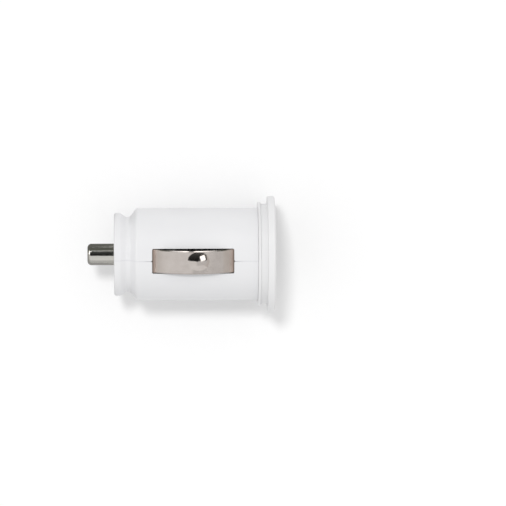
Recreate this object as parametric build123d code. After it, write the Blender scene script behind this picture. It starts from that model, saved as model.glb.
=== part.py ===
from build123d import *
import os
from math import asin, cos, hypot, sin, sqrt

# Plug for a car's 12 volt socket, with two charging ports side by side in its face.
# X runs along the plug: the nose points to -X and the ports open to +X.
# Z is up. The plug lies with one clip on top, so the housing and the board part on the XZ plane
# and the two ports lie on either side of it along Y.
# The origin is on the plug's axis, in the face that stops against the socket's rim.
# All sizes are in millimetres.

# Port connectors
USB_W = 13.1  # steel shell, outside width
USB_H = 5.72  # steel shell, outside height
USB_L = 12.0  # steel shell, length
USB_SHEET = 0.3
USB_CORNER = 0.6
PORT_PITCH = 8.0  # centre to centre of the two ports
PORT_RECESS = 0.5  # shell's mouth behind the plug's face
TONGUE_W = 11.1
TONGUE_T = 1.84
TONGUE_SETBACK = 1.6  # tongue's tip behind the shell's mouth
TONGUE_ROOM = 0.55  # between the tongue and the shell's outer wall
TONGUE_BEVEL = 0.35
INSULATOR_L = 2.8  # block that closes the back of the shell
INSULATOR_ROOM = 0.05
CONTACT_W = 1.0
CONTACT_T = 0.25
CONTACT_INNER = 1.0  # the two data contacts, from the port's middle
CONTACT_OUTER = 3.5  # the two power contacts, from the port's middle
CONTACT_SETBACK = 1.2  # contact's end behind the tongue's tip
CONTACT_TAIL = 0.9  # how far the tails stand out behind the block
LEG_L = 1.6
LEG_INSET = 1.4  # from each end of the shell to its legs
GRIP_L = 4.2  # sprung tongues, two in each wide wall
GRIP_W = 2.2
GRIP_SLIT = 0.35
GRIP_BACK = 3.4  # from the shell's back to the slit
GRIP_AT = 3.1  # from the port's middle

# Housing
PORT_ROOM = 0.16  # between a connector's corners and the housing
WALL = 0.9
DRAFT = 0.02  # radius that the barrel loses towards its front
CAP_SLIT = 0.05  # between the barrel's end and the end cap
LAND_L = 4.8  # parallel land in front of that slit
CAP_LAP = 0.25  # step down in radius inside the end cap
CAP_ENTRY = 1.7  # how far the half shells reach into the end cap
NOSE_WALL = 1.4
NOSE_SIDE = 1.0
NOSE_CAVITY_L = 4.25
LIP_STEP = 1.05  # nose lip below the barrel
LIP_L = 1.3
LIP_ROUND = 0.5
LIP_BACK_ROUND = 1.0
GROOVE_STEP = 0.92  # groove below the nose lip
GROOVE_L = 0.8  # groove's bottom
GROOVE_FRONT_ROUND = 0.9
GROOVE_BACK_ROUND = 0.9
SHOULDER_L = 1.4
SHOULDER_LEAD = 0.7  # shoulder's end in front of the wide cavity
SHOULDER_ROUND = 0.8
SEAM = 0.01  # shadow line between the half shells
SEAM_DEPTH = 0.05

# Spring clips of the ground side, and their slots
CLIP_W = 5.2
CLIP_T = 0.4
CLIP_RISE = 2.85  # crest above the clip's feet
CLIP_BEND = 0.8
CLIP_EDGE = 0.07
CLIP_COIN_W = 0.2  # coined facet along the arch's upper edges
CLIP_COIN_H = 0.1
CLIP_TRAVEL = 2.3  # how far a socket presses each clip in
CLIP_SIDE_ROOM = 0.2
CLIP_END_ROOM = 0.2
SLOT_L = 18.2
SLOT_REAR = 5.4  # from the stop face to the slot
SLOT_CORNER = 0.35
NICK_R = 0.2  # nick in each end of the slot, where the half shells part
NICK_L = 2.4  # taper of the parting line away from each nick
NICK_W = 0.1
NICK_DEPTH = 0.3
FOOT_L = 1.3  # part of each foot that lies under the wall
FOOT_ROOM = 0.2
POCKET_DEPTH = 0.05
DIMPLE_BALL = 5.0  # radius of the dimple's dome
DIMPLE_H = 0.45
DIMPLE_SHIFT = 1.13  # towards the ports
DIMPLE_SIDE = 0.3  # from the strip's middle line
DIMPLE_ROOT = 0.025  # how deep the dome starts in the strip
FINGER_L = 3.4  # wiper that runs on the board
FINGER_ROOM = 0.02

# Centre contact
TIP_R = 2.4
TIP_OUT = 5.95  # part that stands out of the nose
TIP_ROUND = 0.9
TIP_CLEAR = 0.08
TIP_FLANGE_STEP = 1.1
TIP_FLANGE_T = 0.8
TIP_TAIL_R = 1.5
TIP_TAIL_L = 1.4
GUIDE_CLEAR = 0.1
GUIDE_WALL = 0.9
GUIDE_GAP = 0.8
SPRING_WIRE = 0.45
SPRING_TURNS = 4
SPRING_ROOM = 0.45  # between the coil's inside and the contact's tail
SPRING_END_ROOM = 0.02
TERMINAL_W = 5.6
TERMINAL_H = 4.8
TERMINAL_T = 0.4
TERMINAL_FOOT_L = 2.0
TERMINAL_FOOT_W = 2.8

# End cap
CAP_CLEAR = 0.05
CAP_BEVEL = 0.15
CAP_MOUTH = 0.05  # stop face's inner edge outside the barrel
RIM_STEP = 1.35  # rim above the barrel
RIM_L = 0.6
RIM_ROUND = 0.2
NECK_STEP = 0.9  # neck above the barrel
NECK_L = 1.5
FLANGE_STEP = 2.65  # flange above the barrel
FLANGE_T = 1.7
FLANGE_FRONT_ROUND = 0.35
FLANGE_BACK_ROUND = 0.55
WINDOW_ROOM = 0.1
WINDOW_BEVEL = 0.25

# Circuit board and its ledges
BOARD_T = 1.0
BOARD_CLIP_ROOM = 0.25  # to a clip that is pressed right in
BOARD_EDGE_ROOM = 0.25
BOARD_CORNER = 0.3
TAB_L = 1.0  # front tabs of the board
TAB_CLIP_ROOM = 0.3
TAB_FRONT_ROOM = 0.2
REAR_TAB_GAP = 0.5
REAR_TAB_OUT = 0.8  # board's end behind the stop face
NOTCH_L = 1.4
NOTCH_ROOM = 0.4
LEDGE_IN = 1.9  # how far the ledges stand in from the cavity's wall
LEDGE_H = 1.6
BOSS_R = 1.1
PEG_R = 0.55
PEG_H = 1.2
PEG_CLEAR = 0.05

# Parts on the board
INPUT_CAP_R = 2.5
INPUT_CAP_H = 5.8
OUTPUT_CAP_R = 2.5
OUTPUT_CAP_H = 5.4
CAP_BASE_T = 0.5
CAP_CRIMP_AT = 1.3
CAP_CRIMP = 0.15
CHIP_L = 4.9
CHIP_W = 3.9
CHIP_H = 1.45
CHIP_LEAD_W = 0.42
CHIP_LEAD_T = 0.2
CHIP_LEAD_OUT = 1.0
CHIP_LEAD_PITCH = 1.27
CHIP_STANDOFF = 0.1
COIL_SIDE = 6.0
COIL_H = 3.0
COIL_PLATE_T = 0.7
COIL_WIRE_R = 2.7
DIODE_L = 4.3
DIODE_W = 2.2
DIODE_H = 2.0
DIODE_END_T = 0.3
SMALL_L = 1.6
SMALL_W = 0.8
SMALL_H = 0.5
SMALL_PITCH = 1.9
SMALL_EDGE = 0.7  # from the board's long edge

# Radii that follow from the packing of the ports
PORT_Y = PORT_PITCH / 2
CAVITY_R = hypot(USB_W / 2 - USB_CORNER, PORT_Y + USB_H / 2 - USB_CORNER) + USB_CORNER + PORT_ROOM
BARREL_R = CAVITY_R + WALL
LIP_R = BARREL_R - LIP_STEP
GROOVE_R = LIP_R - GROOVE_STEP
NOSE_CAVITY_R = GROOVE_R - NOSE_SIDE
ENTRY_R = BARREL_R - CAP_LAP
RIM_R = BARREL_R + RIM_STEP
NECK_R = BARREL_R + NECK_STEP
FLANGE_R = BARREL_R + FLANGE_STEP
GUIDE_R = TIP_R + TIP_FLANGE_STEP + GUIDE_CLEAR
GUIDE_OUT_R = GUIDE_R + GUIDE_WALL

# Stations along X
COLLAR_L = RIM_L + NECK_L
FACE_X = COLLAR_L + FLANGE_T
PORT_X = FACE_X - PORT_RECESS
USB_BACK_X = PORT_X - USB_L
TAIL_X = USB_BACK_X - CONTACT_TAIL
SLOT_BACK_X = -SLOT_REAR
SLOT_FRONT_X = SLOT_BACK_X - SLOT_L
SLOT_MID_X = (SLOT_BACK_X + SLOT_FRONT_X) / 2
FOOT_FRONT_X = SLOT_FRONT_X - FOOT_L
FOOT_BACK_X = SLOT_BACK_X + FOOT_L
TAB_BACK_X = FOOT_FRONT_X - TAB_CLIP_ROOM
BOARD_FRONT_X = TAB_BACK_X - TAB_L
CAVITY_FRONT_X = BOARD_FRONT_X - TAB_FRONT_ROOM
NOSE_IN_X = CAVITY_FRONT_X - NOSE_CAVITY_L
NOSE_X = NOSE_IN_X - NOSE_WALL
SHOULDER_X = CAVITY_FRONT_X - SHOULDER_LEAD
GROOVE_BACK_X = SHOULDER_X - SHOULDER_L
GROOVE_FRONT_X = GROOVE_BACK_X - GROOVE_L
REAR_TAB_X = FOOT_BACK_X + REAR_TAB_GAP
NOTCH_X = BOARD_FRONT_X + NOTCH_L
TERMINAL_X = NOTCH_X - TERMINAL_T

# Heights and widths that pieces share
BOARD_FACE = BOARD_T / 2
SLOT_W = CLIP_W + 2 * CLIP_SIDE_ROOM
FOOT_Z = CAVITY_R + POCKET_DEPTH
BOARD_HALF_W = FOOT_Z - CLIP_T - CLIP_TRAVEL - BOARD_CLIP_ROOM
TAB_HALF_W = CAVITY_R - BOARD_EDGE_ROOM
BOSS_X = (NOSE_IN_X + CAVITY_FRONT_X) / 2
BOSS_Z = (GUIDE_OUT_R + NOSE_CAVITY_R) / 2
TONGUE_Y = PORT_Y + USB_H / 2 - USB_SHEET - TONGUE_ROOM - TONGUE_T / 2
CONTACT_ZS = (-CONTACT_OUTER, -CONTACT_INNER, CONTACT_INNER, CONTACT_OUTER)


def block(x0, x1, z0, z1, y0, y1):
    """Rectangular block, given along the plug, across the board and out from its middle plane."""
    middle = Pos((x0 + x1) / 2, (y0 + y1) / 2, (z0 + z1) / 2)
    return middle * Box(abs(x1 - x0), abs(y1 - y0), abs(z1 - z0))


def rounded(outline, corners):
    """Round some corners of a flat outline, each given as a point and a radius."""
    for (x, y), radius in corners:
        corner = outline.vertices().sort_by_distance((x, y, 0))[0]
        outline = fillet(corner, radius)
    return outline


def turned(points, corners):
    """Solid turned about X from points of position along X and radius."""
    outline = make_face(Polyline(*points, close=True))
    return revolve(rounded(outline, corners), Axis.X)


def rod(radius, x0, x1):
    """Round rod on the plug's axis."""
    return extrude(Plane.YZ.offset(x0) * Circle(radius), x1 - x0)


def post(radius, x, z, y0, y1):
    """Round post that stands out from the board's middle plane."""
    return extrude(Plane(origin=(x, y0, z), z_dir=(0, 1, 0)) * Circle(radius), y1 - y0)


def port_prism(grow, corner, x0, x1):
    """Prism of the right connector's outline, grown all round."""
    section = RectangleRounded(USB_H + 2 * grow, USB_W + 2 * grow, corner)
    return extrude(Plane.YZ.offset(x0) * Pos(PORT_Y, 0) * section, x1 - x0)


def on_left(piece):
    """The same piece on the left of the board."""
    return mirror(piece, about=Plane.XZ)


def below(piece):
    """The same piece on the lower side of the plug."""
    return mirror(piece, about=Plane.XY)


# Housing


def housing_outside(inset):
    """Outside of the two half shells put together, drawn in all round by the inset."""
    front = NOSE_X + inset
    lip = (NOSE_X + LIP_L, LIP_R - inset)
    groove_front = (GROOVE_FRONT_X, GROOVE_R - inset)
    groove_back = (GROOVE_BACK_X, GROOVE_R - inset)
    shoulder = (SHOULDER_X, BARREL_R - DRAFT - inset)
    points = [
        (front, 0),
        (front, LIP_R - inset),
        lip,
        groove_front,
        groove_back,
        shoulder,
        (-CAP_SLIT - LAND_L, BARREL_R - inset),
        (-CAP_SLIT, BARREL_R - inset),
        (-CAP_SLIT, ENTRY_R - inset),
        (CAP_ENTRY, ENTRY_R - inset),
        (CAP_ENTRY, 0),
    ]
    corners = [
        ((front, LIP_R - inset), LIP_ROUND),
        (lip, LIP_BACK_ROUND),
        (groove_front, GROOVE_FRONT_ROUND),
        (groove_back, GROOVE_BACK_ROUND),
        (shoulder, SHOULDER_ROUND),
    ]
    return turned(points, corners)


def housing_cavity():
    """Hollow inside the half shells: narrow behind the nose, wide around the board."""
    points = [
        (NOSE_IN_X, 0),
        (NOSE_IN_X, NOSE_CAVITY_R),
        (CAVITY_FRONT_X, NOSE_CAVITY_R),
        (CAVITY_FRONT_X, CAVITY_R),
        (CAP_ENTRY + WALL, CAVITY_R),
        (CAP_ENTRY + WALL, 0),
    ]
    return turned(points, [])


def clip_slot():
    """Slot for the top clip, through the wall."""
    plane = Plane.XY.offset(CAVITY_R - WALL) * Pos(SLOT_MID_X, 0)
    outline = RectangleRounded(SLOT_L, SLOT_W, SLOT_CORNER)
    for end in (-1, 1):
        outline += Pos(end * SLOT_L / 2, 0) * Circle(NICK_R)
    return extrude(plane * outline, 3 * WALL)


def slot_nicks():
    """Shallow wedges where the parting line runs out of the slot's two ends."""
    half = SLOT_L / 2
    nicks = Polyline((half, NICK_W / 2), (half + NICK_L, 0), (half, -NICK_W / 2), close=True)
    outline = make_face(nicks)
    outline += mirror(outline, about=Plane.YZ)
    plane = Plane.XY.offset(BARREL_R - NICK_DEPTH) * Pos(SLOT_MID_X, 0)
    return extrude(plane * outline, WALL)


def clip_pocket():
    """Flat seat inside the wall for a clip's two feet."""
    front = FOOT_FRONT_X - FOOT_ROOM
    back = FOOT_BACK_X + FOOT_ROOM
    return block(front, back, CAVITY_R - WALL, FOOT_Z, -SLOT_W / 2, SLOT_W / 2)


def board_ledges():
    """Ledges that hold the board's four tabs on its right face."""
    inner = CAVITY_R - LEDGE_IN
    outer = CAVITY_R + WALL / 4
    top = BOARD_FACE + LEDGE_H
    front = block(BOARD_FRONT_X, TAB_BACK_X, inner, outer, BOARD_FACE, top)
    back = block(REAR_TAB_X, REAR_TAB_OUT, inner, outer, BOARD_FACE, top)
    return [front, back, below(front), below(back)]


def peg_bosses():
    """Bosses above and below the centre contact, out to the nose's wall."""
    core = rod(NOSE_CAVITY_R + NOSE_SIDE / 4, NOSE_IN_X, CAVITY_FRONT_X)
    boss = post(BOSS_R, BOSS_X, BOSS_Z, 0, NOSE_CAVITY_R) & core
    return [boss, below(boss)]


def housing():
    """Both half shells in one, before they are parted."""
    solid = housing_outside(0) - housing_cavity()
    solid += rod(GUIDE_OUT_R, NOSE_IN_X, CAVITY_FRONT_X - GUIDE_GAP)
    solid -= rod(GUIDE_R, NOSE_IN_X, CAVITY_FRONT_X)
    solid -= rod(TIP_R + TIP_CLEAR, NOSE_X - NOSE_WALL, NOSE_IN_X + NOSE_WALL)
    for cut in (clip_slot(), slot_nicks(), clip_pocket()):
        solid -= cut
        solid -= below(cut)
    for ledge in board_ledges():
        solid += ledge
        solid += on_left(ledge)
    for boss in peg_bosses():
        solid += boss
        solid += on_left(boss)
    gap = block(NOSE_X - WALL, CAP_ENTRY + WALL, -FLANGE_R, FLANGE_R, -SEAM / 2, SEAM / 2)
    return solid - (gap - housing_outside(SEAM_DEPTH))


def half_shells():
    """Right and left half, with pegs on the left one and holes in the right one."""
    whole = housing()
    right = split(whole, Plane.ZX, keep=Keep.TOP)
    left = split(whole, Plane.ZX, keep=Keep.BOTTOM)
    for side in (-1, 1):
        left += post(PEG_R, BOSS_X, side * BOSS_Z, -PEG_H, PEG_H)
        right -= post(PEG_R + PEG_CLEAR, BOSS_X, side * BOSS_Z, -PEG_H, PEG_H + 4 * PEG_CLEAR)
    return right, left


def end_cap():
    """Flange with the two port windows, and the collar that holds the half shells."""
    bore = ENTRY_R + CAP_CLEAR
    points = [
        (0, BARREL_R + CAP_MOUTH),
        (0, RIM_R),
        (RIM_L, RIM_R),
        (RIM_L, NECK_R),
        (COLLAR_L, NECK_R),
        (COLLAR_L, FLANGE_R),
        (FACE_X, FLANGE_R),
        (FACE_X, 0),
        (COLLAR_L, 0),
        (COLLAR_L, bore),
        (CAP_BEVEL, bore),
    ]
    corners = [
        ((0, RIM_R), RIM_ROUND),
        ((RIM_L, RIM_R), RIM_ROUND),
        ((COLLAR_L, FLANGE_R), FLANGE_FRONT_ROUND),
        ((FACE_X, FLANGE_R), FLANGE_BACK_ROUND),
    ]
    cap = turned(points, corners)
    window = port_prism(WINDOW_ROOM, USB_CORNER, COLLAR_L - WALL, FACE_X + WALL)
    cap -= window
    cap -= on_left(window)
    mouths = cap.faces().sort_by(Axis.X)[-1].inner_wires().edges()
    return chamfer(mouths, WINDOW_BEVEL)


# Ground clips


def ground_clip():
    """Arched spring strip on top, with its dimple and its wiper finger."""
    half = SLOT_L / 2 - CLIP_END_ROOM
    radius = (half**2 + CLIP_RISE**2) / (2 * CLIP_RISE)
    centre_z = FOOT_Z + CLIP_RISE - radius
    under = FOOT_Z - CLIP_T
    half_under = sqrt((radius - CLIP_T) ** 2 - (under - centre_z) ** 2)
    foot_end = SLOT_L / 2 + FOOT_L
    crest = FOOT_Z + CLIP_RISE
    edges = [
        Line((-foot_end, under), (-foot_end, FOOT_Z)),
        Line((-foot_end, FOOT_Z), (-half, FOOT_Z)),
        ThreePointArc((-half, FOOT_Z), (0, crest), (half, FOOT_Z)),
        Line((half, FOOT_Z), (foot_end, FOOT_Z)),
        Line((foot_end, FOOT_Z), (foot_end, under)),
        Line((foot_end, under), (half_under, under)),
        ThreePointArc((half_under, under), (0, crest - CLIP_T), (-half_under, under)),
        Line((-half_under, under), (-foot_end, under)),
    ]
    corners = []
    for side in (-1, 1):
        corners.append(((side * half, FOOT_Z), CLIP_BEND))
        corners.append(((side * half_under, under), CLIP_BEND + CLIP_T))
    strip = extrude(Plane.XZ * rounded(make_face(edges), corners), CLIP_W / 2, both=True)
    strip = fillet(strip.faces().filter_by(Axis.Y).edges(), CLIP_EDGE)
    side = CLIP_W / 2
    coin = Polyline((side - CLIP_COIN_W, crest), (side, crest - CLIP_COIN_H), (side, crest), close=True)
    ring = revolve(Plane.YZ * make_face(coin), Axis((0, 0, centre_z), (0, 1, 0)))
    strip -= ring
    strip -= on_left(ring)
    sink = radius + DIMPLE_H - DIMPLE_BALL
    lean = asin(DIMPLE_SHIFT / radius)
    middle = Pos(sink * sin(lean), DIMPLE_SIDE, centre_z + sink * cos(lean))
    drum = Pos(0, 0, centre_z) * Rot(90, 0, 0) * Cylinder(radius - DIMPLE_ROOT, CLIP_W + 2 * DIMPLE_BALL)
    strip += middle * Sphere(DIMPLE_BALL) - drum
    strip -= middle * Sphere(DIMPLE_BALL - CLIP_T)
    strip = Pos(SLOT_MID_X, 0, 0) * strip
    finger_top = CLIP_W / 2 - CLIP_SIDE_ROOM
    finger_low = BOARD_FACE + FINGER_ROOM
    finger_end = FOOT_FRONT_X + CLIP_T
    strip += block(FOOT_FRONT_X, finger_end, under - FINGER_L, FOOT_Z, finger_low, finger_top)
    return strip


# Centre contact


def tip_contact():
    """Centre contact: a pin with a rounded end, a flange that stops it, and a tail."""
    flange_x = NOSE_IN_X + TIP_FLANGE_T
    end_x = NOSE_X - TIP_OUT
    points = [
        (end_x, 0),
        (end_x, TIP_R),
        (NOSE_IN_X, TIP_R),
        (NOSE_IN_X, TIP_R + TIP_FLANGE_STEP),
        (flange_x, TIP_R + TIP_FLANGE_STEP),
        (flange_x, TIP_TAIL_R),
        (flange_x + TIP_TAIL_L, TIP_TAIL_R),
        (flange_x + TIP_TAIL_L, 0),
    ]
    return turned(points, [((end_x, TIP_R), TIP_ROUND)])


def tip_spring():
    """Coil spring between the centre contact's flange and its terminal."""
    start = NOSE_IN_X + TIP_FLANGE_T + SPRING_WIRE / 2 + SPRING_END_ROOM
    end = TERMINAL_X - SPRING_WIRE / 2 - SPRING_END_ROOM
    radius = TIP_TAIL_R + SPRING_ROOM + SPRING_WIRE / 2
    path = Helix((end - start) / SPRING_TURNS, end - start, radius)
    section = Plane(origin=path @ 0, z_dir=path % 0) * Circle(SPRING_WIRE / 2)
    coil = sweep(section, path, is_frenet=True)
    return Pos(start, 0, 0) * Rot(0, 90, 0) * coil


def tip_terminal():
    """Plate in the board's notch that the spring bears on, with its soldered foot."""
    plate = extrude(Plane.YZ.offset(TERMINAL_X) * Rectangle(TERMINAL_H, TERMINAL_W), TERMINAL_T)
    foot_top = BOARD_FACE + TERMINAL_T
    half = TERMINAL_FOOT_W / 2
    return plate + block(TERMINAL_X, NOTCH_X + TERMINAL_FOOT_L, -half, half, BOARD_FACE, foot_top)


# Port connectors


def usb_shell():
    """Steel shell of the right connector, with sprung tongues and four legs in to the board."""
    inner_corner = USB_CORNER - USB_SHEET
    shell = port_prism(0, USB_CORNER, USB_BACK_X, PORT_X)
    shell -= port_prism(-USB_SHEET, inner_corner, USB_BACK_X - USB_L, PORT_X + USB_L)
    back = USB_BACK_X + GRIP_BACK
    front = back + GRIP_L
    half = GRIP_W / 2
    for side in (-1, 1):
        low = PORT_Y + side * USB_H / 2 - USB_SHEET
        high = low + 2 * USB_SHEET
        for z in (-GRIP_AT, GRIP_AT):
            slit = block(back, front, z - half - GRIP_SLIT, z + half + GRIP_SLIT, low, high)
            slit -= block(back + GRIP_SLIT, front, z - half, z + half, low, high)
            shell -= slit
    top = PORT_Y - USB_H / 2 + USB_CORNER
    outer = USB_W / 2
    for x0 in (USB_BACK_X + LEG_INSET, REAR_TAB_OUT - LEG_INSET - LEG_L):
        leg = block(x0, x0 + LEG_L, outer - USB_SHEET, outer, BOARD_FACE, top)
        shell += leg
        shell += below(leg)
    return shell


def usb_insulator():
    """Moulded block and tongue of the right connector."""
    back = USB_BACK_X + INSULATOR_L
    inner_corner = USB_CORNER - USB_SHEET
    body = port_prism(-USB_SHEET - INSULATOR_ROOM, inner_corner, USB_BACK_X, back)
    low = TONGUE_Y - TONGUE_T / 2
    high = TONGUE_Y + TONGUE_T / 2
    end = PORT_X - TONGUE_SETBACK
    tongue = block(back - INSULATOR_ROOM, end, -TONGUE_W / 2, TONGUE_W / 2, low, high)
    tip_edges = tongue.faces().sort_by(Axis.X)[-1].edges().filter_by(Axis.Z)
    body += chamfer(tip_edges, TONGUE_BEVEL)
    for z in CONTACT_ZS:
        half = CONTACT_W / 2 + INSULATOR_ROOM
        bottom = low - CONTACT_T - INSULATOR_ROOM
        body -= block(USB_BACK_X - USB_SHEET, back, z - half, z + half, bottom, low)
    return body


def usb_contacts():
    """Four contact springs on the tongue's inner face, with tails in to the board."""
    low = TONGUE_Y - TONGUE_T / 2 - CONTACT_T
    end = PORT_X - TONGUE_SETBACK - CONTACT_SETBACK
    contacts = []
    for z in CONTACT_ZS:
        z0 = z - CONTACT_W / 2
        z1 = z + CONTACT_W / 2
        strip = block(TAIL_X, end, z0, z1, low, low + CONTACT_T)
        tail = block(TAIL_X, TAIL_X + CONTACT_T, z0, z1, BOARD_FACE, low + CONTACT_T)
        contacts.append(strip + tail)
    return Compound(children=contacts)


# Circuit board and the parts on it


def main_board():
    """Board in the parting plane: tabs at both ends, waist between the clips."""
    front = Pos((BOARD_FRONT_X + TAB_BACK_X) / 2, 0) * Rectangle(TAB_L, 2 * TAB_HALF_W)
    rear_l = REAR_TAB_OUT - REAR_TAB_X
    rear = Pos((REAR_TAB_X + REAR_TAB_OUT) / 2, 0) * Rectangle(rear_l, 2 * TAB_HALF_W)
    waist_l = REAR_TAB_OUT - BOARD_FRONT_X
    waist = Pos((BOARD_FRONT_X + REAR_TAB_OUT) / 2, 0) * Rectangle(waist_l, 2 * BOARD_HALF_W)
    outline = front + rear + waist
    notch_w = TERMINAL_W + 2 * NOTCH_ROOM
    outline -= Pos(BOARD_FRONT_X, 0) * Rectangle(2 * NOTCH_L, notch_w)
    outline = fillet(outline.vertices(), BOARD_CORNER)
    return extrude(Plane.XZ * outline, BOARD_FACE, both=True)


def can_capacitor(x, radius, height):
    """Aluminium can with a crimped waist, on its square moulded base."""
    base = block(x - radius, x + radius, -radius, radius, BOARD_FACE, BOARD_FACE + CAP_BASE_T)
    waist = BOARD_FACE + CAP_CRIMP_AT
    can = post(radius, x, 0, BOARD_FACE + CAP_BASE_T, BOARD_FACE + height)
    can -= Pos(x, waist, 0) * Rot(90, 0, 0) * Torus(radius + CAP_CRIMP, 2 * CAP_CRIMP)
    return base + can


def converter_chip(x):
    """Eight-lead converter chip, its leads towards the board's long edges."""
    low = BOARD_FACE + CHIP_STANDOFF
    chip = block(x - CHIP_L / 2, x + CHIP_L / 2, -CHIP_W / 2, CHIP_W / 2, low, low + CHIP_H)
    knee = low + CHIP_H / 2
    out = CHIP_W / 2 + CHIP_LEAD_OUT
    for i in range(4):
        x0 = x + (i - 1.5) * CHIP_LEAD_PITCH - CHIP_LEAD_W / 2
        x1 = x0 + CHIP_LEAD_W
        bend = out - CHIP_LEAD_OUT / 2
        arm = block(x0, x1, CHIP_W / 2, bend, knee, knee + CHIP_LEAD_T)
        drop = block(x0, x1, bend - CHIP_LEAD_T, bend, BOARD_FACE, knee + CHIP_LEAD_T)
        toe = block(x0, x1, bend - CHIP_LEAD_T, out, BOARD_FACE, BOARD_FACE + CHIP_LEAD_T)
        lead = arm + drop + toe
        chip += lead
        chip += below(lead)
    return chip


def power_inductor(x):
    """Drum core: two square plates on a round wound middle."""
    half = COIL_SIDE / 2
    foot = block(x - half, x + half, -half, half, BOARD_FACE, BOARD_FACE + COIL_PLATE_T)
    top = BOARD_FACE + COIL_H
    lid = block(x - half, x + half, -half, half, top - COIL_PLATE_T, top)
    return foot + lid + post(COIL_WIRE_R, x, 0, BOARD_FACE, top)


def schottky_diode(x, z):
    """Moulded diode body with a folded terminal at each end."""
    low = BOARD_FACE + CHIP_STANDOFF
    body = block(x - DIODE_L / 2, x + DIODE_L / 2, z - DIODE_W / 2, z + DIODE_W / 2, low, low + DIODE_H)
    for end in (-1, 1):
        edge = x + end * DIODE_L / 2
        inner = edge - end * DIODE_END_T
        outer = edge + end * DIODE_END_T
        body += block(inner, outer, z - DIODE_W / 4, z + DIODE_W / 4, BOARD_FACE, low + DIODE_H / 2)
    return body


def small_parts(x, side, count):
    """Row of small ceramic parts along one long edge of the board."""
    z = side * (BOARD_HALF_W - SMALL_EDGE - SMALL_L / 2)
    row = []
    for i in range(count):
        x0 = x + (i - (count - 1) / 2) * SMALL_PITCH
        half_l = SMALL_L / 2
        half_w = SMALL_W / 2
        body = block(x0 - half_w, x0 + half_w, z - half_l, z + half_l, BOARD_FACE, BOARD_FACE + SMALL_H)
        row.append(body)
    return Compound(children=row)


def board_parts():
    """Electronic parts on both faces, spread evenly over the free stretches."""
    right_start = NOTCH_X + TERMINAL_FOOT_L
    right_gap = (TAIL_X - right_start - 2 * INPUT_CAP_R - CHIP_L) / 3
    cap_x = right_start + right_gap + INPUT_CAP_R
    chip_x = TAIL_X - right_gap - CHIP_L / 2
    left_gap = (TAIL_X - NOTCH_X - COIL_SIDE - 2 * OUTPUT_CAP_R) / 3
    coil_x = NOTCH_X + left_gap + COIL_SIDE / 2
    out_x = TAIL_X - left_gap - OUTPUT_CAP_R
    diode_z = BOARD_HALF_W - SMALL_EDGE - DIODE_W / 2
    return {
        "input_capacitor": can_capacitor(cap_x, INPUT_CAP_R, INPUT_CAP_H),
        "converter_chip": converter_chip(chip_x),
        "power_inductor": on_left(power_inductor(coil_x)),
        "output_capacitor": on_left(can_capacitor(out_x, OUTPUT_CAP_R, OUTPUT_CAP_H)),
        "schottky_diode": on_left(schottky_diode(coil_x, diode_z)),
        "chip_resistors": small_parts(chip_x, 1, 4),
        "chip_capacitors": small_parts(chip_x, -1, 4),
    }


def pieces():
    """Every piece of the plug under its own name."""
    right, left = half_shells()
    clip = ground_clip()
    shell = usb_shell()
    insulator = usb_insulator()
    contacts = usb_contacts()
    named = {
        "right_shell": right,
        "left_shell": left,
        "end_cap": end_cap(),
        "ground_clip_top": clip,
        "ground_clip_bottom": below(clip),
        "tip_contact": tip_contact(),
        "tip_spring": tip_spring(),
        "tip_terminal": tip_terminal(),
        "main_board": main_board(),
        "usb_shell_right": shell,
        "usb_shell_left": on_left(shell),
        "usb_insulator_right": insulator,
        "usb_insulator_left": on_left(insulator),
        "usb_contacts_right": contacts,
        "usb_contacts_left": on_left(contacts),
    }
    named.update(board_parts())
    return named


os.makedirs("parts", exist_ok=True)
for name, piece in pieces().items():
    export_step(piece, f"parts/{name}.step")
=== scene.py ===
import math

import bpy
from bpy.props import FloatProperty, FloatVectorProperty, PointerProperty
from mathutils import Matrix, Vector


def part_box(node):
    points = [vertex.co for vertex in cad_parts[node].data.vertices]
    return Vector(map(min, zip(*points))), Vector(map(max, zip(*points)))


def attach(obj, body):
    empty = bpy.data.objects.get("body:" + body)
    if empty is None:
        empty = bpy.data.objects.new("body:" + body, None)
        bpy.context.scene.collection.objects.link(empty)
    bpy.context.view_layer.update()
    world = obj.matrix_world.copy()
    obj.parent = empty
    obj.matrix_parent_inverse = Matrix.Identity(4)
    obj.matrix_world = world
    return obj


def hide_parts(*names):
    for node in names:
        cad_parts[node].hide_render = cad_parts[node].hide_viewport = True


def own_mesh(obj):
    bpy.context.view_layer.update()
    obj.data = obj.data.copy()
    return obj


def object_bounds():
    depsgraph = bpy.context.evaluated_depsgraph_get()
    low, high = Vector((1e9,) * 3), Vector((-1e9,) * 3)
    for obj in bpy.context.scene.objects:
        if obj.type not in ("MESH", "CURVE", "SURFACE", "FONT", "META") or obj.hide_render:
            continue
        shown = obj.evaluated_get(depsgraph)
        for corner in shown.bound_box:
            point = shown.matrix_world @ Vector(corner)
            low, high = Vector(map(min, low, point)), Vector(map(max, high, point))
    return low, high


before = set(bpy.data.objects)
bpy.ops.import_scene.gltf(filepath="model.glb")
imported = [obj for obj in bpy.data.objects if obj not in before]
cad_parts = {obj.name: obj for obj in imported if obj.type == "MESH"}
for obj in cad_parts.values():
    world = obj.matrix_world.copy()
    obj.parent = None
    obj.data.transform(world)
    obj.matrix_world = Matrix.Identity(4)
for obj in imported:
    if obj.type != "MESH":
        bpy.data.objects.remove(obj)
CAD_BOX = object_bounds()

bl_info = {
    "name": "Car charger plug",
    "version": (1, 0, 0),
    "blender": (4, 5, 0),
    "location": "View3D > Sidebar > Plug",
    "description": "Dresses the plug's pieces in their real materials and sets its studio",
    "category": "Object",
}

MM = 0.001

# Depth of the bumps in a moulded or drawn skin, and of the marks that rolling or turning leaves
SKIN_DEPTH = 0.02 * MM
MARK_DEPTH = 0.01 * MM
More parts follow.
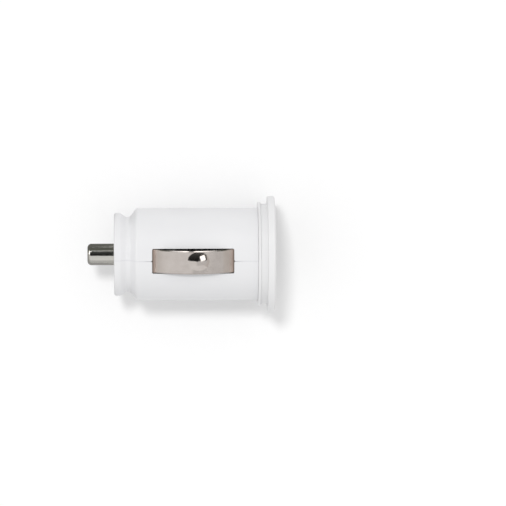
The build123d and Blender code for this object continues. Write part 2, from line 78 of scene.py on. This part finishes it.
# Step from the bare board up to the copper under its mask
COPPER_STEP = 0.03 * MM

# Coil spring: turns as in the solid, and the mesh's steps in a turn and points around the wire
SPRING_TURNS = 4
SPRING_STEPS = 36
SPRING_SPOKES = 12


def linear(hex_colour):
    """Turn an sRGB hex colour into linear red, green, blue and alpha."""
    channels = []
    for start in (1, 3, 5):
        value = int(hex_colour[start:start + 2], 16) / 255
        channels.append(value / 12.92 if value <= 0.04045 else ((value + 0.055) / 1.055) ** 2.4)
    return (*channels, 1.0)


def colour(name, description, hex_colour):
    """Colour property with its default given in sRGB hex."""
    return FloatVectorProperty(
        name=name,
        description=description,
        subtype="COLOR",
        size=4,
        min=0,
        max=1,
        default=linear(hex_colour),
    )


def length(name, description, metres, least=0.0):
    """Length property in metres."""
    return FloatProperty(
        name=name, description=description, unit="LENGTH", min=least, precision=5, default=metres
    )


def angle(name, description, degrees):
    """Angle property with its default given in degrees."""
    return FloatProperty(
        name=name, description=description, subtype="ANGLE", default=math.radians(degrees)
    )


def amount(name, description, default):
    """Plain number of zero or more."""
    return FloatProperty(name=name, description=description, min=0, default=default)


class PlugColours(bpy.types.PropertyGroup):
    """Colours of the plug's materials."""

    housing: colour("Housing", "White of the two half shells", "#EDEDEE")
    housing_shade: colour("Housing shade", "White where the plastic flowed last", "#E8E8EA")
    seam: colour("Parting line", "Shade in the groove between the half shells", "#E3E3E6")
    cap: colour("End cap", "White of the flange and collar", "#EEEEEE")
    cap_shade: colour("End cap shade", "White of the cap's later flow", "#E8E8E9")
    clip: colour("Clip", "Nickel plate on the clips", "#CBC4BF")
    clip_shade: colour("Clip shade", "Duller clouds in the clips' plate", "#BDB5AF")
    # The clip's bend colour is a painted tan reflection, and its foot colour is painted shade under the
    # slot's ends.
    clip_bend_painted_reflection: colour("Clip bends", "Tarnish where the strip bends into the housing", "#C4B0A4")
    clip_foot_painted_shade: colour("Clip feet", "Dark tarnish under the slot's ends", "#453F3A")
    tip: colour("Tip", "Bright nickel of the centre contact", "#C4C2BC")
    port: colour("Port shell", "Nickel plate on the stamped port shells", "#C9C8C4")
    nylon: colour("Port block", "Black nylon of the port blocks", "#1C1C1E")
    gold: colour("Contacts", "Gold flash on the port contacts", "#E0BC74")
    mask: colour("Board", "Solder mask over bare laminate", "#17472F")
    track: colour("Board tracks", "Solder mask over copper", "#2B7048")
    aluminium: colour("Cans", "Drawn aluminium of the capacitor cans", "#CFCFCD")
    tin: colour("Tin", "Tinned leads and end caps", "#8F8E89")
    copper: colour("Winding", "Enamelled copper wire of the coil", "#A8653A")
    ferrite: colour("Ferrite", "Sintered plates of the coil", "#4A4A4C")
    resistor: colour("Resistors", "Overglaze on the chip resistors", "#232325")
    ceramic: colour("Capacitors", "Fired body of the chip capacitors", "#A68B6E")


class PlugSizes(bpy.types.PropertyGroup):
    """Real sizes of the patterns in the materials.

    Mould skin, streaks, turning marks, ripples and grain are finer on the real thing, and are drawn as
    coarse as they need to show.
    """

    flow: length("Flow mottle", "Width of the faint flow marks in the plastic", 9 * MM)
    skin: length("Mould skin", "Width of the dimples that the mould leaves", 0.6 * MM)
    seam: length("Parting line", "Width of the shade along the parting line", 0.4 * MM)
    streak_length: length("Streak length", "Length of a rolling streak on the clips", 8 * MM)
    streak_width: length("Streak width", "Width of a rolling streak on the clips", 0.25 * MM)
    arch: length("Clip arch", "Length of the bright arch between the clip's bends", 15.8 * MM)
    # Painted tone: how far the clip's painted reflection at the bends and painted shade at the feet fade
    # in.
    painted_tone: length("Tarnish", "How far the tarnish fades along the strip", 0.9 * MM)
    slot: length("Slot", "Length of the slot that the clip shows in", 18.2 * MM)
    turning: length("Turning marks", "Distance of the rings that the lathe leaves on the tip", 0.3 * MM)
    peel: length("Plating ripple", "Width of the ripples in the tip's thick plating", 0.5 * MM)
    spring_wire: length("Spring wire", "Thickness of the coil spring's wire", 0.45 * MM)
    cloud: length("Plating cloud", "Width of the faint clouds in the plating", 1.8 * MM)
    grain: length("Grain", "Width of the grain in mouldings and ceramics", 0.3 * MM)
    pour: length("Copper fields", "Width of the copper fields on the board", 3.5 * MM)
    etch: length("Etched gap", "Width of the gaps etched between the copper fields", 0.3 * MM)
    wire: length("Wire", "Width of the coil's enamelled wire", 0.35 * MM)
    lead: length("Leads", "Bare metal at each end of a chip", 1 * MM)
    end_cap: length("End caps", "Bare metal at each end of a small chip", 0.3 * MM)
    base: length("Can base", "Thickness of the board's half and a can's black base", 1 * MM)
    plate: length("Coil plates", "Thickness of each ferrite plate of the coil", 0.7 * MM)
    paper: length("Paper", "Width of the grain in the floor's paper", 2 * MM)


class PlugStage(bpy.types.PropertyGroup):
    """The studio around the plug."""

    camera_distance: length("Camera distance", "From the plug to the camera", 1.055)
    camera_swing: length("Camera swing", "How far along X the camera is moved", -25.5 * MM, -1.0)
    camera_roll: angle("Roll", "How far the plug is rolled away from the camera", 9.2)
    aim_x: length("Aim along", "Point on X in the picture's middle", -1.03 * MM, -1.0)
    aim_y: length("Aim across", "Point on Y in the picture's middle", 0.19 * MM, -1.0)
    lens: amount("Lens", "Focal length in millimetres", 336)
    ambient: amount("Room light", "Strength of the light from all round", 0.75)
    key_light: amount("Key light", "Strength of the overhead light on the plug", 0.3)
    key_spread: angle("Key spread", "Angle across the overhead light, which softens its shadow", 9)
    side_light: amount("Side light", "Light of each side lamp on the plug", 0.15)
    side_size: length("Side lamp size", "Side of each side lamp", 0.2)
    lamp_distance: length("Lamp distance", "From the plug to each side lamp", 0.45)
    floor_side: length("Floor side", "Side of the square floor", 6.0)
    floor: colour("Floor", "White of the floor where it is seen", "#FFFFFF")
    floor_bounce: colour("Floor bounce", "White of the light that the floor throws back", "#E4E4E4")


def add(tree, kind, inputs=None, **settings):
    """Add a node, set its properties, and set its inputs or link them to other nodes' outputs."""
    made = tree.nodes.new(kind)
    for name, value in settings.items():
        setattr(made, name, value)
    for name, value in (inputs or {}).items():
        if isinstance(value, bpy.types.NodeSocket):
            tree.links.new(value, made.inputs[name])
        else:
            made.inputs[name].default_value = value
    return made


def begin(name):
    """New material with an empty tree, and its place on the plug in metres."""
    material = bpy.data.materials.new(name)
    material.use_nodes = True
    tree = material.node_tree
    tree.nodes.clear()
    return material, tree, add(tree, "ShaderNodeTexCoord").outputs["Object"]


def end(tree, surface):
    """Join a shader to the material's output."""
    add(tree, "ShaderNodeOutputMaterial", {"Surface": surface.outputs[0]})


def fine_skin(tree, place, width, detail, sheen, strength, depth=SKIN_DEPTH, under=None):
    """Unevenness of a given width: a roughness between two values, and a bump that may lie on another."""
    noise = add(tree, "ShaderNodeTexNoise", {"Vector": place, "Scale": 1 / width, "Detail": detail})
    uneven = noise.outputs["Fac"]
    rough = add(tree, "ShaderNodeMapRange", {"Value": uneven, "To Min": sheen[0], "To Max": sheen[1]})
    height = {"Height": uneven, "Strength": strength, "Distance": depth}
    if under:
        height["Normal"] = under
    bump = add(tree, "ShaderNodeBump", height)
    return rough.outputs["Result"], bump.outputs["Normal"]


def dress(material, *names):
    """Give CAD nodes one material."""
    for name in names:
        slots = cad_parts[name].data.materials
        slots.clear()
        slots.append(material)


# Materials


def abs_moulded(name, light, shade, sizes, seam=None):
    """ABS from a fine-blasted mould: an even white with a soft sheen and hardly any mottle.

    The groove between two halves is too fine to show, so the shade in it is drawn wider.
    """
    material, tree, place = begin(name)
    flow = add(tree, "ShaderNodeTexNoise", {"Vector": place, "Scale": 1 / sizes.flow, "Detail": 2.0})
    tint = add(
        tree, "ShaderNodeMix", {"Factor": flow.outputs["Fac"], "A": light, "B": shade}, data_type="RGBA"
    )
    if seam:
        split = add(tree, "ShaderNodeSeparateXYZ", {"Vector": place})
        apart = add(tree, "ShaderNodeMath", {0: split.outputs["Y"]}, operation="ABSOLUTE")
        groove = add(
            tree,
            "ShaderNodeMapRange",
            {"Value": apart.outputs[0], "From Max": sizes.seam / 2, "To Min": 1.0, "To Max": 0.0},
        )
        tint = add(
            tree,
            "ShaderNodeMix",
            {"Factor": groove.outputs["Result"], "A": tint.outputs["Result"], "B": seam},
            data_type="RGBA",
        )
    sheen, normal = fine_skin(tree, place, sizes.skin, 3.0, (0.3, 0.42), 0.08)
    shader = add(
        tree,
        "ShaderNodeBsdfPrincipled",
        {
            "Base Color": tint.outputs["Result"],
            "Roughness": sheen,
            "Normal": normal,
            "IOR": 1.54,
            "Specular IOR Level": 0.25,
        },
    )
    end(tree, shader)
    return material


def spring_steel_nickel_plated(name, light, shade, painted_reflection, painted_shade, middle, sizes):
    """Rolled strip under satin nickel: warm grey with faint streaks along it, a painted tan reflection on
    its duller bends, and painted shade at its feet.
    """
    material, tree, place = begin(name)
    cloud = add(tree, "ShaderNodeTexNoise", {"Vector": place, "Scale": 1 / sizes.cloud, "Detail": 2.0})
    tint = add(
        tree, "ShaderNodeMix", {"Factor": cloud.outputs["Fac"], "A": light, "B": shade}, data_type="RGBA"
    )
    split = add(tree, "ShaderNodeSeparateXYZ", {"Vector": place})
    from_middle = add(tree, "ShaderNodeMath", {0: split.outputs["X"], 1: middle}, operation="SUBTRACT")
    apart = add(tree, "ShaderNodeMath", {0: from_middle.outputs[0]}, operation="ABSOLUTE").outputs[0]
    half_arch, half_slot = sizes.arch / 2, sizes.slot / 2
    # Painted reflection: towards each bend the strip turns tan.
    bent = add(
        tree,
        "ShaderNodeMapRange",
        {"Value": apart, "From Min": half_arch, "From Max": half_arch + sizes.painted_tone},
    )
    # Painted shade: the strip darkens where it runs under the slot's ends.
    under = add(
        tree,
        "ShaderNodeMapRange",
        {
            "Value": apart,
            "From Min": half_slot - sizes.painted_tone / 2,
            "From Max": half_slot + sizes.painted_tone / 10,
        },
    )
    # Mix in the painted reflection at the bends and the painted shade at the feet.
    for share, painted_tone in ((bent, painted_reflection), (under, painted_shade)):
        tint = add(
            tree,
            "ShaderNodeMix",
            {"Factor": share.outputs["Result"], "A": tint.outputs["Result"], "B": painted_tone},
            data_type="RGBA",
        )
    # The bends are less metallic and duller, so the painted tan shows.
    metal = add(
        tree, "ShaderNodeMapRange", {"Value": bent.outputs["Result"], "To Min": 1.0, "To Max": 0.3}
    )
    streaks = (1 / sizes.streak_length, 1 / sizes.streak_width, 1 / sizes.streak_width)
    along = add(tree, "ShaderNodeMapping", {"Vector": place, "Scale": streaks})
    sheen, normal = fine_skin(tree, along.outputs["Vector"], 1.0, 3.0, (0.08, 0.16), 0.06, MARK_DEPTH)
    dulled = add(
        tree,
        "ShaderNodeMath",
        {0: bent.outputs["Result"], 1: 0.35, 2: sheen},
        operation="MULTIPLY_ADD",
    )
    shader = add(
        tree,
        "ShaderNodeBsdfPrincipled",
        {
            "Base Color": tint.outputs["Result"],
            "Metallic": metal.outputs["Result"],
            "Roughness": dulled.outputs[0],
            "Normal": normal,
        },
    )
    end(tree, shader)
    return material


def brass_bright_nickel_plated(name, base, sizes):
    """Turned brass under bright nickel: a rippled mirror with faint rings."""
    material, tree, place = begin(name)
    sheen, ripple = fine_skin(tree, place, sizes.peel, 2.0, (0.06, 0.2), 0.2)
    split = add(tree, "ShaderNodeSeparateXYZ", {"Vector": place})
    rings = add(
        tree,
        "ShaderNodeTexNoise",
        {"W": split.outputs["X"], "Scale": 1 / sizes.turning, "Detail": 2.0},
        noise_dimensions="1D",
    )
    bump = add(
        tree,
        "ShaderNodeBump",
        {"Height": rings.outputs["Fac"], "Strength": 0.05, "Distance": MARK_DEPTH, "Normal": ripple},
    )
    shader = add(
        tree,
        "ShaderNodeBsdfPrincipled",
        {"Base Color": base, "Metallic": 1.0, "Roughness": sheen, "Normal": bump.outputs["Normal"]},
    )
    end(tree, shader)
    return material


def metal_drawn(name, base, sizes, low, high):
    """Drawn or stamped metal: faint clouds, and a sheen that varies between two roughnesses."""
    material, tree, place = begin(name)
    sheen, normal = fine_skin(tree, place, sizes.cloud, 4.0, (low, high), 0.05)
    shader = add(
        tree,
        "ShaderNodeBsdfPrincipled",
        {"Base Color": base, "Metallic": 1.0, "Roughness": sheen, "Normal": normal},
    )
    end(tree, shader)
    return material


def nylon_moulded(name, base, sizes):
    """Nylon from a matt mould: a dark, dull skin with a fine grain."""
    material, tree, place = begin(name)
    sheen, normal = fine_skin(tree, place, sizes.grain, 3.0, (0.4, 0.6), 0.15)
    shader = add(
        tree,
        "ShaderNodeBsdfPrincipled",
        {"Base Color": base, "Roughness": sheen, "Normal": normal},
    )
    end(tree, shader)
    return material


def laminate_solder_masked(name, bare, over_copper, sizes):
    """Glass laminate under solder mask: glossy green, paler over the copper than in the etched gaps.

    The copper fields are rectangles, which differ in length and are shifted from row to row.
    """
    material, tree, place = begin(name)
    split = add(tree, "ShaderNodeSeparateXYZ", {"Vector": place})
    face = add(tree, "ShaderNodeCombineXYZ", {"X": split.outputs["X"], "Y": split.outputs["Z"]})
    gaps = add(
        tree,
        "ShaderNodeTexBrick",
        {
            "Vector": face.outputs["Vector"],
            "Scale": 1 / sizes.pour,
            "Mortar Size": sizes.etch / sizes.pour / 2,
            "Mortar Smooth": 0.1,
            "Brick Width": 1.0,
            "Row Height": 1.15,
        },
        offset=0.35,
        squash=1.6,
        squash_frequency=3,
    )
    copper = add(tree, "ShaderNodeMath", {0: 1.0, 1: gaps.outputs["Fac"]}, operation="SUBTRACT").outputs[0]
    tint = add(tree, "ShaderNodeMix", {"Factor": copper, "A": bare, "B": over_copper}, data_type="RGBA")
    sheen = add(tree, "ShaderNodeMapRange", {"Value": copper, "To Min": 0.35, "To Max": 0.28})
    step = add(tree, "ShaderNodeBump", {"Height": copper, "Strength": 0.3, "Distance": COPPER_STEP})
    shader = add(
        tree,
        "ShaderNodeBsdfPrincipled",
        {
            "Base Color": tint.outputs["Result"],
            "Roughness": sheen.outputs["Result"],
            "Normal": step.outputs["Normal"],
        },
    )
    end(tree, shader)
    return material


def two_finishes(name, body, ends, sizes, axis, middle, half, wire=0.0):
    """One finish between two places along an axis and another beyond: a dull moulding or fired body with
    metal ends, or, where a wire's width is given, a shiny ridged winding between dull plates.
    """
    material, tree, place = begin(name)
    along = add(tree, "ShaderNodeSeparateXYZ", {"Vector": place}).outputs[axis]
    inside = add(tree, "ShaderNodeMath", {0: along, 1: middle, 2: half}, operation="COMPARE").outputs[0]
    tint = add(tree, "ShaderNodeMix", {"Factor": inside, "A": ends, "B": body}, data_type="RGBA")
    winding = None
    if wire:
        metal = inside
        ridge = add(tree, "ShaderNodeMath", {0: along, 1: wire / 2}, operation="PINGPONG")
        turns = add(tree, "ShaderNodeMath", {0: ridge.outputs[0], 1: inside}, operation="MULTIPLY")
        wound = add(tree, "ShaderNodeBump", {"Height": turns.outputs[0], "Strength": 0.8, "Distance": 1.0})
        winding = wound.outputs["Normal"]
    else:
        metal = add(tree, "ShaderNodeMath", {0: 1.0, 1: inside}, operation="SUBTRACT").outputs[0]
    sheen, normal = fine_skin(tree, place, sizes.grain, 3.0, (0.28, 0.5), 0.1, under=winding)
    shader = add(
        tree,
        "ShaderNodeBsdfPrincipled",
        {"Base Color": tint.outputs["Result"], "Metallic": metal, "Roughness": sheen, "Normal": normal},
    )
    end(tree, shader)
    return material


# Operators


class PLUG_OT_dress_housing(bpy.types.Operator):
    """Dress the half shells and the end cap in white plastic"""

    bl_idname = "plug.dress_housing"
    bl_label = "Dress housing"

    def execute(self, context):
        colours = context.scene.plug_colours
        sizes = context.scene.plug_sizes
        shell = abs_moulded(
            "abs_moulded_shell", colours.housing, colours.housing_shade, sizes, colours.seam
        )
        dress(shell, "right_shell", "left_shell")
        cap = abs_moulded("abs_moulded_cap", colours.cap, colours.cap_shade, sizes)
        dress(cap, "end_cap")
        return {"FINISHED"}


class PLUG_OT_dress_clips(bpy.types.Operator):
    """Dress the two ground clips in nickel plated spring steel"""

    bl_idname = "plug.dress_clips"
    bl_label = "Dress clips"

    def execute(self, context):
        colours = context.scene.plug_colours
        sizes = context.scene.plug_sizes
        low, high = (corner.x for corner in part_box("ground_clip_top"))
        strip = spring_steel_nickel_plated(
            "spring_steel_rolled_nickel_plated",
            colours.clip,
            colours.clip_shade,
            colours.clip_bend_painted_reflection,
            colours.clip_foot_painted_shade,
            (low + high) / 2,
            sizes,
        )
        dress(strip, "ground_clip_top", "ground_clip_bottom")
        return {"FINISHED"}


class PLUG_OT_dress_tip(bpy.types.Operator):
    """Dress the centre contact and its terminal"""

    bl_idname = "plug.dress_tip"
    bl_label = "Dress tip"

    def execute(self, context):
        colours = context.scene.plug_colours
        sizes = context.scene.plug_sizes
        dress(brass_bright_nickel_plated("brass_turned_bright_nickel", colours.tip, sizes), "tip_contact")
        dress(metal_drawn("brass_stamped_tinned", colours.clip, sizes, 0.3, 0.45), "tip_terminal")
        return {"FINISHED"}


def coil(start, run, radius, wire):
    """Points and outward faces of a coil of round wire along X, closed at both ends."""
    verts = []
    for step in range(SPRING_TURNS * SPRING_STEPS + 1):
        turn = step / SPRING_STEPS
        bearing = math.tau * turn
        outward = Vector((0, math.cos(bearing), math.sin(bearing)))
        around = Vector((0, -math.sin(bearing), math.cos(bearing))) * math.tau * radius
        along = Vector((run / SPRING_TURNS, 0, 0)) + around
        side = along.normalized().cross(outward)
        middle = Vector((start + run * turn / SPRING_TURNS, 0, 0)) + outward * radius
        for spoke in range(SPRING_SPOKES):
            turned = math.tau * spoke / SPRING_SPOKES
            verts.append(middle + (outward * math.cos(turned) + side * math.sin(turned)) * wire)
    last_ring = len(verts) - SPRING_SPOKES
    faces = [tuple(reversed(range(SPRING_SPOKES))), tuple(range(last_ring, len(verts)))]
    for ring in range(0, last_ring, SPRING_SPOKES):
        for spoke in range(SPRING_SPOKES):
            here, beside = ring + spoke, ring + (spoke + 1) % SPRING_SPOKES
            faces.append((here, beside, beside + SPRING_SPOKES, here + SPRING_SPOKES))
    return verts, faces


class PLUG_OT_wind_spring(bpy.types.Operator):
    """Wind the coil spring behind the centre contact, which is pressed together as the tip slides in"""

    bl_idname = "plug.wind_spring"
    bl_label = "Wind spring"

    def execute(self, context):
        colours = context.scene.plug_colours
        sizes = context.scene.plug_sizes
        wire = sizes.spring_wire / 2
        low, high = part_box("tip_spring")
        full = high.x - low.x
        verts, faces = coil(low.x + wire, full - 2 * wire, high.y - wire, wire)
        mesh = bpy.data.meshes.new("coil_spring")
        mesh.from_pydata(verts, [], faces)
        mesh.validate()
        mesh.shade_smooth()
        mesh.materials.append(metal_drawn("spring_wire_drawn", colours.port, sizes, 0.25, 0.4))
        spring = bpy.data.objects.new("coil_spring", mesh)
        context.scene.collection.objects.link(spring)
        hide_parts("tip_spring")
        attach(spring, "housing")
        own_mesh(spring)
        return {"FINISHED"}


class PLUG_OT_dress_ports(bpy.types.Operator):
    """Dress the two ports: steel shells, nylon blocks and gold contacts"""

    bl_idname = "plug.dress_ports"
    bl_label = "Dress ports"

    def execute(self, context):
        colours = context.scene.plug_colours
        sizes = context.scene.plug_sizes
        steel = metal_drawn("steel_stamped_nickel_plated", colours.port, sizes, 0.2, 0.34)
        nylon = nylon_moulded("nylon_moulded_black", colours.nylon, sizes)
        gold = metal_drawn("bronze_stamped_gold_flashed", colours.gold, sizes, 0.15, 0.28)
        for side in ("right", "left"):
            dress(steel, f"usb_shell_{side}")
            dress(nylon, f"usb_insulator_{side}")
            dress(gold, f"usb_contacts_{side}")
        return {"FINISHED"}


class PLUG_OT_dress_board(bpy.types.Operator):
    """Dress the circuit board and the parts on it"""

    bl_idname = "plug.dress_board"
    bl_label = "Dress board"

    def execute(self, context):
        colours = context.scene.plug_colours
        sizes = context.scene.plug_sizes
        board = laminate_solder_masked("laminate_solder_masked", colours.mask, colours.track, sizes)
        dress(board, "main_board")
        can = two_finishes(
            "aluminium_drawn_on_black_base", colours.nylon, colours.aluminium, sizes, "Y", 0.0, sizes.base
        )
        dress(can, "input_capacitor", "output_capacitor")
        chips = (
            ("converter_chip", "epoxy_moulded_tinned_leads", colours.nylon, "Z", sizes.lead),
            ("schottky_diode", "epoxy_moulded_tinned_ends", colours.nylon, "X", sizes.end_cap),
            ("chip_resistors", "alumina_fired_tinned", colours.resistor, "Z", sizes.end_cap),
            ("chip_capacitors", "ceramic_fired_tinned", colours.ceramic, "Z", sizes.end_cap),
        )
        for node, name, body, axis, bare in chips:
            low, high = (corner["XYZ".index(axis)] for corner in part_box(node))
            half = (high - low) / 2 - bare
            dress(two_finishes(name, body, colours.tin, sizes, axis, (low + high) / 2, half), node)
        low, high = (corner.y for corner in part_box("power_inductor"))
        winding = two_finishes(
            "ferrite_sintered_copper_wound",
            colours.copper,
            colours.ferrite,
            sizes,
            "Y",
            (low + high) / 2,
            (high - low) / 2 - sizes.plate,
            sizes.wire,
        )
        dress(winding, "power_inductor")
        return {"FINISHED"}


def plane(name, corners, material):
    """Flat stage piece with one face."""
    mesh = bpy.data.meshes.new(name)
    mesh.from_pydata(corners, [], [tuple(range(len(corners)))])
    mesh.materials.append(material)
    made = bpy.data.objects.new(name, mesh)
    bpy.context.scene.collection.objects.link(made)
    return made


def seen_rays(tree):
    """One for the rays that show the background: to the camera, off gloss and through glass."""
    rays = add(tree, "ShaderNodeLightPath").outputs
    seen = rays["Is Camera Ray"]
    for kind in ("Is Glossy Ray", "Is Transmission Ray"):
        seen = add(tree, "ShaderNodeMath", {0: seen, 1: rays[kind]}, operation="MAXIMUM").outputs[0]
    return seen


class PLUG_OT_set_stage(bpy.types.Operator):
    """Set the floor, the light and the camera"""

    bl_idname = "plug.set_stage"
    bl_label = "Set stage"

    def execute(self, context):
        stage = context.scene.plug_stage
        self.set_room(context, stage)
        self.set_floor(stage, context.scene.plug_sizes)
        self.set_lamps(context, stage)
        self.set_cards()
        self.set_camera(context, stage)
        context.scene.view_settings.view_transform = "Standard"
        return {"FINISHED"}

    def set_room(self, context, stage):
        """White room: the seen part has a strength of one, the light from it has its own."""
        world = bpy.data.worlds.new("white_room")
        context.scene.world = world
        world.use_nodes = True
        tree = world.node_tree
        tree.nodes.clear()
        light = add(tree, "ShaderNodeBackground", {"Color": (1, 1, 1, 1), "Strength": stage.ambient})
        white = add(tree, "ShaderNodeBackground", {"Color": (1, 1, 1, 1), "Strength": 1.0})
        room = add(
            tree, "ShaderNodeMixShader", {0: seen_rays(tree), 1: light.outputs[0], 2: white.outputs[0]}
        )
        add(tree, "ShaderNodeOutputWorld", {"Surface": room.outputs[0]})

    def set_floor(self, stage, sizes):
        """White sheet of paper that the plug lies on: dull, with hardly any grain."""
        material, tree, place = begin("paper_white_sheet")
        grain = add(tree, "ShaderNodeTexNoise", {"Vector": place, "Scale": 1 / sizes.paper, "Detail": 2.0})
        sheen = add(
            tree, "ShaderNodeMapRange", {"Value": grain.outputs["Fac"], "To Min": 0.85, "To Max": 0.95}
        )
        tint = add(
            tree,
            "ShaderNodeMix",
            {"Factor": seen_rays(tree), "A": stage.floor_bounce, "B": stage.floor},
            data_type="RGBA",
        )
        paper = add(
            tree,
            "ShaderNodeBsdfPrincipled",
            {
                "Base Color": tint.outputs["Result"],
                "Roughness": sheen.outputs["Result"],
                "Specular IOR Level": 0.1,
            },
        )
        end(tree, paper)
        half = stage.floor_side / 2
        low = CAD_BOX[0].z
        corners = [(-half, -half, low), (half, -half, low), (half, half, low), (-half, half, low)]
        plane("floor", corners, material)

    def set_lamps(self, context, stage):
        """Overhead key light, which gloss doesn't show, and a lamp for gloss at each end of the plug.

        Each has a name, a kind, the way from the plug to the lamp, and its light on the plug.
        """
        lamps = (
            ("lamp_key", "SUN", (-0.15, 0.38, 1), stage.key_light),
            ("lamp_ports", "AREA", (0.6, 0.17, 1), stage.side_light),
            ("lamp_nose", "AREA", (-0.9, 0.3, 0.35), stage.side_light),
        )
        low, high = CAD_BOX
        for name, kind, way, light in lamps:
            data = bpy.data.lights.new(name, kind)
            lamp = bpy.data.objects.new(name, data)
            if kind == "SUN":
                data.angle = stage.key_spread
                data.energy = light * math.pi
            else:
                data.shape = "SQUARE"
                data.size = stage.side_size
                data.energy = light * (math.pi * stage.lamp_distance) ** 2
            out = Vector(way).normalized()
            lamp.location = (low + high) / 2 + out * stage.lamp_distance
            lamp.rotation_euler = out.to_track_quat("Z", "Y").to_euler()
            lamp.visible_glossy = kind == "AREA"
            lamp.visible_diffuse = kind == "SUN"
            context.scene.collection.objects.link(lamp)

    def set_cards(self):
        """Cards around the plug that only gloss sees.

        Each has a name, a strength, a tone at its first and at its last edge, and two opposite corners
        in metres.
        """
        low = CAD_BOX[0].z
        sheet = low + 0.2 * MM
        end_x = 1.0
        wall_y = 0.8
        over = 0.7
        strip_y = -0.075
        tip_y = 0.56
        nose_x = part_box("right_shell")[0].x
        cards = (
            ("card_overhead", 1, "#030303", "#565756", (-0.7, strip_y, over), (0.9, tip_y, over)),
            ("card_over_tip", 1, "#6A6B6A", "#6A6B6A", (-0.12, tip_y, 0.69), (0.02, 0.72, 0.69)),
            ("card_over_strip", 1, "#E6E6E6", "#E6E6E6", (-0.02, -0.4, over), (0.9, strip_y, over)),
            ("card_edge", 3, "#FFFFFF", "#FFFFFF", (-end_x, 0.6, over), (end_x, 0.7, over)),
            ("card_far_wall", 1, "#6E706A", "#6E706A", (-end_x, wall_y, low), (end_x, wall_y, 0.68)),
            ("card_near_wall", 1, "#DCDCDC", "#DCDCDC", (-end_x, -wall_y, low), (end_x, -wall_y, 0.5)),
            # The two sheets just above the floor stand for it in reflections: the near one is painted
            # shadow of the plug, and the far one is darker.
            ("card_far_sheet", 1, "#7A7B77", "#7A7B77", (-end_x, 0, sheet), (nose_x, wall_y, sheet)),
            ("card_near_sheet", 1, "#B4B4B4", "#B4B4B4", (-end_x, -wall_y, sheet), (nose_x, 0, sheet)),
            ("card_ports_wall", 1, "#CCC6C0", "#FFFFFF", (end_x, -wall_y, low), (end_x, wall_y, 1.9)),
            ("card_nose_wall", 1, "#D0CBC6", "#FFFFFF", (-end_x, -wall_y, low), (-end_x, wall_y, 1.0)),
        )
        for name, strength, tone, last_tone, first, last in cards:
            flat = first[2] == last[2]
            turn = (first[0], last[1], first[2]) if flat else (first[0], first[1], last[2])
            across = tuple(a + b - c for a, b, c in zip(first, last, turn))
            material, tree, place = begin(name)
            split = add(tree, "ShaderNodeSeparateXYZ", {"Vector": place})
            way, axis = ("Y", 1) if flat else ("Z", 2)
            share = add(
                tree,
                "ShaderNodeMapRange",
                {"Value": split.outputs[way], "From Min": first[axis], "From Max": last[axis]},
            )
            tint = add(
                tree,
                "ShaderNodeMix",
                {"Factor": share.outputs["Result"], "A": linear(tone), "B": linear(last_tone)},
                data_type="RGBA",
            )
            glow = {"Color": tint.outputs["Result"], "Strength": strength}
            end(tree, add(tree, "ShaderNodeEmission", glow))
            card = plane(name, [first, turn, last, across], material)
            card.visible_camera = False
            card.visible_diffuse = False
            card.visible_transmission = False
            card.visible_shadow = False

    def set_camera(self, context, stage):
        """Camera that looks down on the plug, with the nose on the left."""
        data = bpy.data.cameras.new("camera")
        data.lens = stage.lens
        data.sensor_width = 36
        data.clip_start = 0.01
        data.clip_end = 20
        camera = bpy.data.objects.new("camera", data)
        aim = Vector((stage.aim_x, stage.aim_y, 0))
        out = Vector((0, math.sin(stage.camera_roll), math.cos(stage.camera_roll)))
        place = aim + out * stage.camera_distance + Vector((stage.camera_swing, 0, 0))
        back = (place - aim).normalized()
        right = Vector((0, 1, 0)).cross(back).normalized()
        up = back.cross(right)
        camera.matrix_world = Matrix.Translation(place) @ Matrix((right, up, back)).transposed().to_4x4()
        context.scene.collection.objects.link(camera)
        context.scene.camera = camera


class PLUG_PT_sidebar(bpy.types.Panel):
    """Sidebar tab that lists the plug's steps and settings"""

    bl_idname = "PLUG_PT_sidebar"
    bl_label = "Car charger plug"
    bl_space_type = "VIEW_3D"
    bl_region_type = "UI"
    bl_category = "Plug"

    def draw(self, context):
        for operator in OPERATORS:
            self.layout.operator(operator.bl_idname)
        for group in (context.scene.plug_colours, context.scene.plug_sizes, context.scene.plug_stage):
            box = self.layout.box()
            for name in group.__annotations__:
                box.prop(group, name)


OPERATORS = (
    PLUG_OT_dress_housing,
    PLUG_OT_dress_clips,
    PLUG_OT_dress_tip,
    PLUG_OT_wind_spring,
    PLUG_OT_dress_ports,
    PLUG_OT_dress_board,
    PLUG_OT_set_stage,
)
CLASSES = (PlugColours, PlugSizes, PlugStage, *OPERATORS, PLUG_PT_sidebar)


def register():
    """Add the classes and hang the settings on the scene."""
    for cls in CLASSES:
        bpy.utils.register_class(cls)
    bpy.types.Scene.plug_colours = PointerProperty(type=PlugColours)
    bpy.types.Scene.plug_sizes = PointerProperty(type=PlugSizes)
    bpy.types.Scene.plug_stage = PointerProperty(type=PlugStage)


def unregister():
    """Take the settings and the classes away again."""
    del bpy.types.Scene.plug_stage
    del bpy.types.Scene.plug_sizes
    del bpy.types.Scene.plug_colours
    for cls in reversed(CLASSES):
        bpy.utils.unregister_class(cls)


def main():
    register()
    bpy.ops.plug.dress_housing()
    bpy.ops.plug.dress_clips()
    bpy.ops.plug.dress_tip()
    bpy.ops.plug.wind_spring()
    bpy.ops.plug.dress_ports()
    bpy.ops.plug.dress_board()
    bpy.ops.plug.set_stage()


if __name__ == "__main__":
    main()
